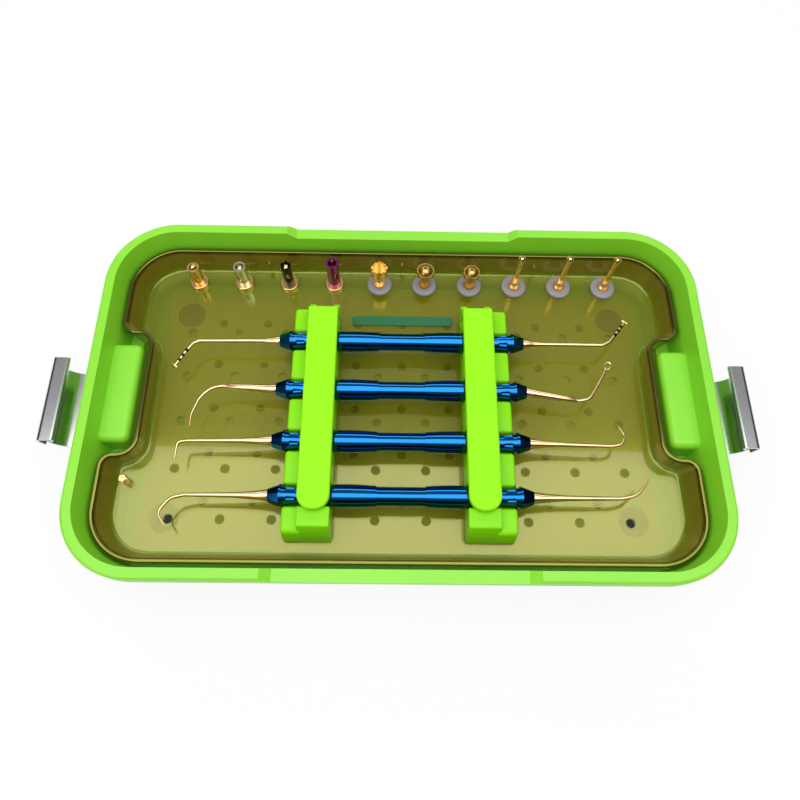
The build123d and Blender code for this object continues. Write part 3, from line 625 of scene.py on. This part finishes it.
def plastic(name, colour, shade, rough, drift=18.0, grain=2200.0, bump=0.03):
    """Moulded plastic or silicone."""
    material, tree, shader = new_material(name)
    values = {
        "Color": rgba(colour),
        "Shade": rgba(shade),
        "Drift Scale": drift,
        "Grain Scale": grain,
        "Roughness Low": rough[0],
        "Roughness High": rough[1],
    }
    surface(tree, shader, group_named("moulded", make_moulded), values, bump, 0.05)
    return material, shader


def metal(name, colour, wear, rough, direction=(0.0, 0.0, 1.0), bump=0.04, patch=160.0):
    """Turned, coated or anodised metal."""
    material, tree, shader = new_material(name)
    values = {
        "Color": rgba(colour),
        "Wear": rgba(wear),
        "Direction": direction,
        "Patch Scale": patch,
        "Roughness Low": rough[0],
        "Roughness High": rough[1],
    }
    surface(tree, shader, group_named("turned", make_turned_metal), values, bump, 0.02)
    shader.inputs["Metallic"].default_value = 1.0
    return material, shader


def build_materials(look):
    material, shader = plastic("Moulded green", look.case_green, look.case_shade, (0.34, 0.42))
    shader.inputs["Coat Weight"].default_value = 0.08
    shader.inputs["Coat Roughness"].default_value = 0.15
    tree = material.node_tree
    moulded = next(node for node in tree.nodes if node.type == "GROUP")
    depth = tree.nodes.new("ShaderNodeGroup")
    depth.node_tree = group_named("depth", make_depth)
    # The floor inside the case gets a yellower colour: painted amber light that the tray lets
    # through
    depth.inputs["Floor"].default_value = rgba(look.case_floor_painted_light)
    depth.inputs["Wall Start"].default_value = CASE_WALL_START * MM
    depth.inputs["Lip Start"].default_value = CASE_LIP_START * MM
    for label in ("Wall", "Lip"):
        tree.links.new(moulded.outputs["Color"], depth.inputs[label])
    # Painted amber light only inside the plan of the case floor, the moulded green outside it
    amber_light_mix = tree.nodes.new("ShaderNodeMix")
    amber_light_mix.data_type = "RGBA"
    tree.links.new(beyond_plan(tree, *AMBER_LIGHT_PLAN), amber_light_mix.inputs["Factor"])
    tree.links.new(depth.outputs["Color"], amber_light_mix.inputs["A"])
    tree.links.new(moulded.outputs["Color"], amber_light_mix.inputs["B"])
    tree.links.new(amber_light_mix.outputs["Result"], shader.inputs["Base Color"])
    MATERIALS["case"] = material
    material, shader = plastic("Tray amber", look.tray_amber, look.tray_amber, (0.1, 0.14))
    tree = material.node_tree
    depth = tree.nodes.new("ShaderNodeGroup")
    depth.node_tree = group_named("depth", make_depth)
    for label, colour, cover in (
        ("Floor", look.tray_amber, look.tray_alpha),
        ("Wall", look.tray_wall, WALL_COVER),
        ("Lip", look.tray_lip, LIP_COVER),
    ):
        depth.inputs[label].default_value = rgba(colour)
        depth.inputs[f"{label} Cover"].default_value = cover
    tree.links.new(depth.outputs["Color"], shader.inputs["Base Color"])
    tree.links.new(depth.outputs["Alpha"], shader.inputs["Alpha"])
    tree.links.new(depth.outputs["Coat"], shader.inputs["Coat Weight"])
    shader.inputs["IOR"].default_value = 2.2
    shader.inputs["Specular Tint"].default_value = (1.0, 1.0, 0.15, 1.0)
    shader.inputs["Coat IOR"].default_value = 1.7
    shader.inputs["Coat Roughness"].default_value = 0.03
    shader.inputs["Coat Tint"].default_value = (1.0, 1.0, 0.9, 1.0)
    MATERIALS["tray"] = material
    material, shader = plastic(
        "Silicone lime", look.lime, look.lime_shade, (0.42, 0.5), bump=0.05
    )
    shader.inputs["Specular IOR Level"].default_value = 0.12
    MATERIALS["lime"] = material
    material, shader = plastic(
        "Holder lime", look.holder, look.holder_shade, (0.25, 0.33), bump=0.04
    )
    shader.inputs["Specular IOR Level"].default_value = 0.15
    shader.inputs["Coat Weight"].default_value = 0.05
    shader.inputs["Coat Roughness"].default_value = 0.1
    MATERIALS["holder"] = material
    MATERIALS["foot"], _ = plastic("Foot silicone", look.foot, look.foot, (0.4, 0.5))
    MATERIALS["grey"], _ = plastic(
        "Silicone grey", look.grey, look.grey_shade, (0.4, 0.5), bump=0.05
    )
    MATERIALS["label"], _ = plastic("Label green", look.label, look.label, (0.3, 0.4))
    for key, colour, wear, rough, direction in (
        ("stainless", look.stainless, look.stainless, (0.16, 0.2), (0.05, 1.0, 0.05)),
        ("steel", look.steel, look.steel, (0.1, 0.2), (0.0, 0.0, 1.0)),
        ("gold", look.gold, look.gold_wear, (0.14, 0.24), (0.0, 0.0, 1.0)),
        ("gold_along", look.rose_gold, look.gold_wear, (0.14, 0.26), (1.0, 0.0, 0.0)),
        ("blue", look.blue, look.blue, (0.08, 0.13), (1.0, 0.0, 0.0)),
        ("black", look.black, look.black, (0.12, 0.2), (0.0, 0.0, 1.0)),
        ("purple", look.purple, look.purple, (0.12, 0.2), (0.0, 0.0, 1.0)),
    ):
        MATERIALS[key], _ = metal(f"Metal {key}", colour, wear, rough, direction)
    MATERIALS["grit"], _ = metal(
        "Metal grit", look.gold, rgba(look.gold, 0.12), (0.2, 0.45), (1.0, 1.0, 1.0), 0.9, 1500.0
    )


# Settings that a user would change


def colour_property(name, description, default):
    """Linear colour setting."""
    return FloatVectorProperty(
        name=name,
        description=description,
        subtype="COLOR",
        size=3,
        min=0.0,
        max=1.0,
        default=default,
    )


class KitLook(bpy.types.PropertyGroup):
    case_green: colour_property("Case green", "Moulded case", (0.235, 0.665, 0.025))
    case_shade: colour_property(
        "Case green, deeper", "Drift in the case colour", (0.215, 0.63, 0.022)
    )
    # Painted amber light: the case floor is made yellower where light through the tray falls on it
    case_floor_painted_light: colour_property("Case floor", "Floor under the tray", (0.48, 0.51, 0.035))
    tray_amber: colour_property("Tray amber", "See-through tray", (0.20, 0.19, 0.004))
    tray_wall: colour_property("Tray wall", "Upright walls of the tray", (0.17, 0.135, 0.015))
    tray_lip: colour_property("Tray lip", "Rim of the tray", (0.022, 0.015, 0.004))
    tray_alpha: FloatProperty(
        name="Tray cover",
        description="How much the amber tray hides of what lies under it",
        subtype="FACTOR",
        min=0.0,
        max=1.0,
        default=0.42,
    )
    lime: colour_property("Lime silicone", "Straps", (0.277, 0.76, 0.009))
    lime_shade: colour_property(
        "Lime silicone, deeper", "Drift in the silicone", (0.262, 0.73, 0.008)
    )
    holder: colour_property("Holder lime", "Blocks and combs", (0.235, 0.70, 0.006))
    holder_shade: colour_property(
        "Holder lime, deeper", "Drift in the holders", (0.215, 0.66, 0.005)
    )
    foot: colour_property("Feet", "Feet of the case", (0.035, 0.035, 0.028))
    grey: colour_property("Grey silicone", "Grommets", (0.31, 0.285, 0.30))
    grey_shade: colour_property(
        "Grey silicone, deeper", "Drift in the grommets", (0.275, 0.25, 0.265)
    )
    label: colour_property("Label", "Bare label plate", (0.008, 0.14, 0.045))
    stainless: colour_property("Stainless", "Clips", (0.62, 0.63, 0.64))
    steel: colour_property("Steel", "Bright turned tools", (0.72, 0.72, 0.74))
    gold: colour_property("Gold", "Posts and tools", (0.80, 0.50, 0.15))
    rose_gold: colour_property("Rose gold", "Coated tips", (0.86, 0.58, 0.30))
    gold_wear: colour_property("Gold, worn", "Lighter patches", (0.88, 0.66, 0.38))
    blue: colour_property("Blue", "Anodised handles", (0.012, 0.14, 0.40))
    black: colour_property("Black", "Black sleeve", (0.02, 0.02, 0.022))
    purple: colour_property("Purple", "Purple sleeve", (0.30, 0.05, 0.25))


class KitStage(bpy.types.PropertyGroup):
    """Camera, lights and floor."""

    lens: FloatProperty(name="Lens", description="Focal length in mm", default=31.6, min=10.0)
    shift_y: FloatProperty(name="Shift", description="Vertical lens shift", default=-0.0465)
    camera_place: FloatVectorProperty(
        name="Camera", description="Place of the camera", subtype="XYZ", unit="LENGTH",
        default=(-0.0049, -0.1025, 0.2942), precision=5,
    )
    camera_turn: FloatVectorProperty(
        name="Camera turn", description="Tilt, roll and turn of the camera", subtype="EULER",
        default=(radians(23.73), -0.0158, 0.0070),
    )
    floor_size: FloatProperty(
        name="Floor", description="Side of the floor", unit="LENGTH", default=6.0
    )
    key_power: FloatProperty(name="Key light", description="Power in watts", default=4.4)
    world_level: FloatProperty(
        name="World light", description="Strength of the surroundings", default=0.55
    )


# Operators


class KIT_OT_stage(bpy.types.Operator):
    """Floor, lights, world and camera"""

    bl_idname = "kit.stage"
    bl_label = "Stage"

    @staticmethod
    def any_ray(tree, path, *kinds):
        """1 for a ray of any of the named kinds."""
        total = path.outputs[kinds[0]]
        for kind in kinds[1:]:
            both = tree.nodes.new("ShaderNodeMath")
            both.operation = "ADD"
            tree.links.new(total, both.inputs[0])
            tree.links.new(path.outputs[kind], both.inputs[1])
            total = both.outputs["Value"]
        return total

    @staticmethod
    def open_floor(tree):
        """Mask and glow of the floor: no glow and a painted shade colour right under the case, so
        that its holes stay dark.
        """
        outside = beyond_plan(tree, *PAINTED_SHADE_GROUND)
        glow = tree.nodes.new("ShaderNodeMath")
        glow.operation = "MULTIPLY"
        glow.inputs[1].default_value = FLOOR_GLOW
        tree.links.new(outside, glow.inputs[0])
        return outside, glow.outputs["Value"]

    def execute(self, context):
        stage = context.scene.kit_stage
        bpy.ops.mesh.primitive_plane_add(size=stage.floor_size, location=(0.0, 0.0, 0.0))
        floor = new_piece("floor")
        material, tree, shader = new_material("Floor")
        tint = tree.nodes.new("ShaderNodeMix")
        tint.data_type = "RGBA"
        # Painted shade: near-black colour of the ground under the case
        tint.inputs["A"].default_value = (0.03, 0.03, 0.03, 1.0)
        tint.inputs["B"].default_value = (0.8, 0.8, 0.8, 1.0)
        tree.links.new(tint.outputs["Result"], shader.inputs["Base Color"])
        shader.inputs["Roughness"].default_value = 0.9
        shader.inputs["Specular IOR Level"].default_value = 0.0
        glow = tree.nodes.new("ShaderNodeEmission")
        path = tree.nodes.new("ShaderNodeLightPath")
        seen = self.any_ray(tree, path, "Is Camera Ray", "Is Glossy Ray", "Is Transmission Ray")
        share = tree.nodes.new("ShaderNodeMath")
        share.operation = "MULTIPLY"
        share.use_clamp = True
        tree.links.new(seen, share.inputs[0])
        outside, level = self.open_floor(tree)
        tree.links.new(outside, tint.inputs["Factor"])
        tree.links.new(level, share.inputs[1])
        mix = tree.nodes.new("ShaderNodeMixShader")
        tree.links.new(share.outputs["Value"], mix.inputs["Fac"])
        tree.links.new(shader.outputs["BSDF"], mix.inputs[1])
        tree.links.new(glow.outputs["Emission"], mix.inputs[2])
        tree.links.new(mix.outputs["Shader"], tree.nodes["Material Output"].inputs["Surface"])
        floor.data.materials.append(material)

        world = bpy.data.worlds.new("Studio")
        context.scene.world = world
        world.use_nodes = True
        tree = world.node_tree
        background = tree.nodes["Background"]
        background.inputs["Color"].default_value = (1.0, 1.0, 1.0, 1.0)
        where = tree.nodes.new("ShaderNodeTexCoord")
        split = tree.nodes.new("ShaderNodeSeparateXYZ")
        tree.links.new(where.outputs["Generated"], split.inputs["Vector"])
        sky = tree.nodes.new("ShaderNodeValToRGB")
        sky.color_ramp.elements[0].position = 0.55
        sky.color_ramp.elements[0].color = (0.04, 0.04, 0.04, 1.0)
        sky.color_ramp.elements[1].position = 0.97
        sky.color_ramp.elements[1].color = (0.9, 0.9, 0.9, 1.0)
        tree.links.new(split.outputs["Z"], sky.inputs["Fac"])
        path = tree.nodes.new("ShaderNodeLightPath")
        mix = tree.nodes.new("ShaderNodeMix")
        mix.data_type = "RGBA"
        mix.inputs["A"].default_value = (1.0, 1.0, 1.0, 1.0)
        tree.links.new(path.outputs["Is Glossy Ray"], mix.inputs["Factor"])
        tree.links.new(sky.outputs["Color"], mix.inputs["B"])
        tree.links.new(mix.outputs["Result"], background.inputs["Color"])
        level = tree.nodes.new("ShaderNodeMapRange")
        level.inputs["To Min"].default_value = stage.world_level
        level.inputs["To Max"].default_value = 1.0
        seen = self.any_ray(tree, path, "Is Camera Ray", "Is Transmission Ray")
        tree.links.new(seen, level.inputs["Value"])
        tree.links.new(level.outputs["Result"], background.inputs["Strength"])

        # Lamps as name, place, size, share of the key light's power, and the place they face
        for name, place, size, share, aim in (
            ("Overhead softbox", (0.0, -0.075, 0.75), (1.0, 0.55), 1.0, (0.0, -0.075, 0.0)),
            ("Back strip", (0.0, 0.75, 0.6), (1.5, 0.22), 0.6, (0.0, 0.0, 0.0)),
            ("Front left softbox", (-0.55, -0.55, 0.6), (0.4, 0.4), 0.25, (0.0, 0.0, 0.0)),
        ):
            data = bpy.data.lights.new(name, "AREA")
            data.shape = "RECTANGLE"
            data.size, data.size_y = size
            data.energy = stage.key_power * share
            lamp = bpy.data.objects.new(name, data)
            lamp.location = place
            away = Vector(place) - Vector(aim)
            lamp.rotation_euler = away.to_track_quat("Z", "Y").to_euler()
            context.scene.collection.objects.link(lamp)

        data = bpy.data.cameras.new("Camera")
        data.lens = stage.lens
        data.shift_y = stage.shift_y
        data.clip_start = 0.01
        camera = bpy.data.objects.new("Camera", data)
        tilt, roll, spin = stage.camera_turn
        rolled = Matrix.Rotation(roll, 4, "Y") @ Matrix.Rotation(tilt, 4, "X")
        rotation = rolled @ Matrix.Rotation(spin, 4, "Z")
        camera.matrix_world = Matrix.Translation(stage.camera_place) @ rotation
        context.scene.collection.objects.link(camera)
        context.scene.camera = camera
        context.scene.view_settings.view_transform = "Standard"
        return {"FINISHED"}


class KIT_OT_finishes(bpy.types.Operator):
    """Finishes of the rigid pieces that keep their solids"""

    bl_idname = "kit.finishes"
    bl_label = "Finishes"

    def execute(self, context):
        build_materials(context.scene.kit_look)
        keys = {
            "case_green": "case",
            "tray_amber": "tray",
            "silicone_lime": "lime",
            "silicone_grey": "grey",
            "stainless": "stainless",
            "steel": "steel",
            "gold": "gold",
            "anodised_blue": "blue",
            "anodised_black": "black",
            "anodised_purple": "purple",
            "label_green": "label",
        }
        for part in frame["record"]["subparts"]:
            node = NODES[part["node"]]
            node.data.materials.clear()
            gritty = part["node"].startswith("dome_reamer_")
            node.data.materials.append(MATERIALS["grit" if gritty else keys[part["material_slot"]]])
        return {"FINISHED"}


class KIT_OT_straps(bpy.types.Operator):
    """Silicone straps with a round nose, soft edges and a hinge knuckle"""

    bl_idname = "kit.straps"
    bl_label = "Straps"

    def execute(self, context):
        for name, (side, middle, _) in STRAPS.items():
            middle = side * middle
            half = STRAP_WIDTH / 2
            profile = [
                (STRAP_TIP, STRAP_UNDER),
                (STRAP_TIP, STRAP_TOP),
                (STRAP_BACK, STRAP_TOP),
                STRAP_HEEL,
                (STRAP_BACK, STRAP_HEEL[1]),
                (STRAP_BACK - 1.5, STRAP_UNDER),
            ]
            strap = prism(f"strap_{name}_soft", profile, middle - half, middle + half)
            round_edges(
                strap,
                lambda low, high: abs(low.y - STRAP_TIP) < 0.01
                and abs(high.y - STRAP_TIP) < 0.01
                and abs(low.z - high.z) > 1.0,
                half - NOSE_INSET,
                12,
            )
            soft_edges(strap, STRAP_ROUND, 4, clamp=True)
            knuckle = [
                (STRAP_BACK - 0.9, KNUCKLE_TOP),
                (STRAP_BACK + 1.2, KNUCKLE_TOP),
                (HINGE[0] + HINGE_RADIUS, HINGE[1]),
            ]
            for n in range(1, HALF_TURN_STEPS):
                knuckle.append(round_hinge(HINGE_RADIUS, -pi * n / HALF_TURN_STEPS))
            knuckle.append((HINGE[0] - HINGE_RADIUS, HINGE[1]))
            reach = half - EAR_WIDTH - GAP
            solid = prism("knuckle", knuckle, middle - reach, middle + reach)
            gather(strap, pin_bore(solid, middle, half))
            settle(strap)
            node = f"strap_{name}"
            finish_piece(strap, node, MATERIALS["lime"], "silicone_lime", node)
        return {"FINISHED"}


def seat_points(row, radius, flare, top):
    """Points and corner radii of one open seat in a holder's outline."""
    points = [(row - radius - flare, top)]
    radii = [1.6 if flare else 0.9]
    for n in range(HALF_TURN_STEPS + 1):
        turn = pi + pi * n / HALF_TURN_STEPS
        points.append((row + radius * cos(turn), AXIS + radius * sin(turn)))
        radii.append(0)
    points.append((row + radius + flare, top))
    radii.append(radii[0])
    return points, radii


def holder_outline(start, finish, radius, flare, top):
    """Side outline of a holder with its four seats."""
    points, radii = list(start[0]), list(start[1])
    for row in reversed(ROWS):
        seat, corners = seat_points(row, radius, flare, top)
        points += seat
        radii += corners
    return soften(points + list(finish[0]), radii + list(finish[1]))


class KIT_OT_holders(bpy.types.Operator):
    """Silicone holders: block under the strap, comb beside it and ears for the pin"""

    bl_idname = "kit.holders"
    bl_label = "Holders"

    def execute(self, context):
        top = STRAP_UNDER - GAP
        step = HINGE[0] - EAR_RADIUS - GAP - HINGE_RADIUS
        foot = ((FRONT, FLOOR), (FRONT, FLOOR + FRONT_RISE))
        for name, (side, middle, comb_edge) in STRAPS.items():
            half = STRAP_WIDTH / 2
            ends_x = sorted((side * (middle - half), side * (middle + half)))
            block = holder_outline(
                ((*foot, (FRONT + BLOCK_SLOPE, top)), (0, 0, 1.0)),
                (((STRAP_BACK - 3.0, top), (step, STEP_TOP), (step, FLOOR)), (0.9, 0, 0)),
                *BLOCK_SEAT, top,
            )
            holder = prism(f"holder_{name}_soft", block, *ends_x)
            soft_edges(holder, BLOCK_ROUND, 3)
            comb = holder_outline(
                ((*foot, (FRONT + COMB_SLOPE, COMB_TOP)), (0, 0, 2.2)),
                (((HINGE[0], COMB_TOP), (HINGE[0] + EAR_RADIUS, FLOOR)), (2.5, 0)),
                *COMB_SEAT, COMB_TOP,
            )
            comb_x = sorted((side * (middle + half - COMB_OVERLAP), side * comb_edge))
            comb_solid = prism("comb", comb, *comb_x)
            soft_edges(comb_solid, COMB_ROUND, 5)
            low = HINGE[1] - HINGE_RADIUS - GAP
            back = HINGE[0] + EAR_RADIUS
            sill = [(step - 1.0, FLOOR), (step - 1.0, low), (back, low), (back, FLOOR)]
            extras = [comb_solid, prism("sill", sill, ends_x[0] + 0.1, ends_x[1] - 0.1)]
            ear = [(HINGE[0] - EAR_RADIUS, low - 1.0), (HINGE[0] - EAR_RADIUS, HINGE[1])]
            for n in range(1, HALF_TURN_STEPS):
                ear.append(round_hinge(EAR_RADIUS, pi - pi * n / HALF_TURN_STEPS))
            ear += [(back, HINGE[1]), (back, low - 1.0)]
            for start in (ends_x[0], ends_x[1] - EAR_WIDTH):
                extras.append(prism("ear", ear, start, start + EAR_WIDTH))
                pin_bore(extras[-1], start + EAR_WIDTH / 2, EAR_WIDTH)
            gather(holder, *extras)
            settle(holder)
            finish_piece(holder, "tray_set", MATERIALS["holder"], "silicone_lime", f"holder_{name}")
        return {"FINISHED"}


def spaced(points, step):
    """Points along a line of points, no further apart than a step."""
    result = [points[0]]
    for before, after in zip(points, points[1:]):
        count = max(1, round((Vector(after) - Vector(before)).length / step))
        for n in range(1, count + 1):
            result.append(tuple(Vector(before).lerp(Vector(after), n / count)))
    return result


def tip_path(side, row, shank, blade, route, bend, final):
    """Level path of one tip, from its root in the bore to its end."""
    start = Vector((CONE_END, row))
    reach = Vector(route[0]) - start
    path = [
        (TIP_ROOT, row, ROOT_RADIUS),
        (CONE_END, row, ROOT_RADIUS),
        (CONE_END + MOUTH_STEP, row, MOUTH_RADIUS),
    ]
    for along, radius in shank:
        place = start + reach * (along / reach.x)
        path.append((*place, radius))
    curve = soften(route, (0, *(bend for _ in route[1:-1]), 0), BEND_STEPS)
    curve = [start + reach * 0.93, *spaced(curve, TUBE_STEP)]
    total = sum((Vector(b) - Vector(a)).length for a, b in zip(curve, curve[1:]))
    gone = 0.0
    for n, place in enumerate(curve):
        if n:
            gone += (Vector(place) - Vector(curve[n - 1])).length
        share = gone / total
        path.append((*place, blade + (final - blade) * share**2))
    return [(side * x, y, radius) for x, y, radius in path]


class KIT_OT_tips(bpy.types.Operator):
    """Eight coated tips with tapering shanks and bent ends"""

    bl_idname = "kit.tips"
    bl_label = "Tips"

    def execute(self, context):
        for key, (route, bend, kind) in TIPS.items():
            side = -1 if key.startswith("left") else 1
            number = int(key[-1])
            shank, blade = SHANKS[number - 1], BLADES[number - 1]
            path = tip_path(side, ROWS[number - 1], shank, blade, route, bend, FINAL_RADII[kind])
            tip = tube(f"tip_{key}_bent", path)
            end = Vector((*path[-1][:2], AXIS))
            way = (end - Vector((*path[-2][:2], AXIS))).normalized()
            heading = atan2(way.y, way.x)
            if kind == "foot":
                bpy.ops.mesh.primitive_cylinder_add(
                    vertices=TUBE_SIDES, radius=BAR[0] * MM, depth=BAR[1] * MM, location=end * MM,
                    rotation=(pi / 2, 0, heading),
                )
                gather(tip, soft_edges(new_piece("foot bar"), 0.2, 3))
            elif kind == "loop":
                ring, wire, past, stretch = RING
                bpy.ops.mesh.primitive_torus_add(
                    major_radius=ring * MM, minor_radius=wire * MM, major_segments=36,
                    minor_segments=12, location=(end + way * past) * MM, rotation=(0, 0, heading),
                )
                bpy.ops.transform.resize(value=(stretch, 1.0, 1.0), orient_type="LOCAL")
                gather(tip, new_piece("loop"))
            settle(tip, merge=0.0005)
            finish_piece(tip, "tray_set", MATERIALS["gold_along"], "gold", f"tip_{key}")
            if kind == "foot":
                tip.data.materials.append(MATERIALS["black"])
                for face in tip.data.polygons:
                    back = (end - face.center / MM).dot(way)
                    if any(low < back < high for low, high in BANDS):
                        face.material_index = 1
        return {"FINISHED"}


class KIT_OT_grommets(bpy.types.Operator):
    """Grey silicone grommets with rounded heads and a dished mouth"""

    bl_idname = "kit.grommets"
    bl_label = "Grommets"

    def execute(self, context):
        for number in range(5, 11):
            place = (TOOLS[number - 1], TOOL_Y, 0)
            grommet = settle(lathe(f"grommet_{number}_soft", GROMMET, place))
            finish_piece(
                grommet, "tray_set", MATERIALS["grey"], "silicone_grey", f"grommet_{number}"
            )
        return {"FINISHED"}


class KIT_OT_feet(bpy.types.Operator):
    """Silicone feet with a head inside the case and a hexagonal socket"""

    bl_idname = "kit.feet"
    bl_label = "Feet"

    def execute(self, context):
        corners = [(side, end) for side in (-1, 1) for end in (-1, 1)]
        for number, (side, end) in enumerate(corners, start=1):
            x, y = side * FOOT_PLACE[0], end * FOOT_PLACE[1]
            foot = lathe(f"foot_{number}_soft", FOOT, (x, y, 0))
            bpy.ops.mesh.primitive_cylinder_add(
                vertices=6, radius=SOCKET[0] * MM, depth=SOCKET[1] * MM,
                location=Vector((x, y, FOOT[-1][1])) * MM,
            )
            settle(cut(foot, new_piece("socket")))
            finish_piece(foot, "case", MATERIALS["foot"], "silicone_lime", f"foot_{number}")
        return {"FINISHED"}


STEPS = (
    (KIT_OT_finishes, "finishes"),
    (KIT_OT_straps, "straps"),
    (KIT_OT_holders, "holders"),
    (KIT_OT_tips, "tips"),
    (KIT_OT_grommets, "grommets"),
    (KIT_OT_feet, "feet"),
    (KIT_OT_stage, "stage"),
)


class KIT_PT_sidebar(bpy.types.Panel):
    bl_idname = "KIT_PT_sidebar"
    bl_label = "Surgical kit"
    bl_space_type = "VIEW_3D"
    bl_region_type = "UI"
    bl_category = "Kit"

    def draw(self, context):
        layout = self.layout
        for group in (context.scene.kit_look, context.scene.kit_stage):
            for label in group.bl_rna.properties.keys():
                if label not in ("rna_type", "name"):
                    layout.prop(group, label)
        for step, _ in STEPS:
            layout.operator(step.bl_idname)


CLASSES = (KitLook, KitStage, *(step for step, _ in STEPS), KIT_PT_sidebar)


def register():
    for cls in CLASSES:
        bpy.utils.register_class(cls)
    bpy.types.Scene.kit_look = PointerProperty(type=KitLook)
    bpy.types.Scene.kit_stage = PointerProperty(type=KitStage)


def unregister():
    del bpy.types.Scene.kit_stage
    del bpy.types.Scene.kit_look
    for cls in reversed(CLASSES):
        bpy.utils.unregister_class(cls)


def main():
    """Register and build every piece in order."""
    register()
    for _, step in STEPS:
        getattr(bpy.ops.kit, step)()


if __name__ == "__main__":
    main()
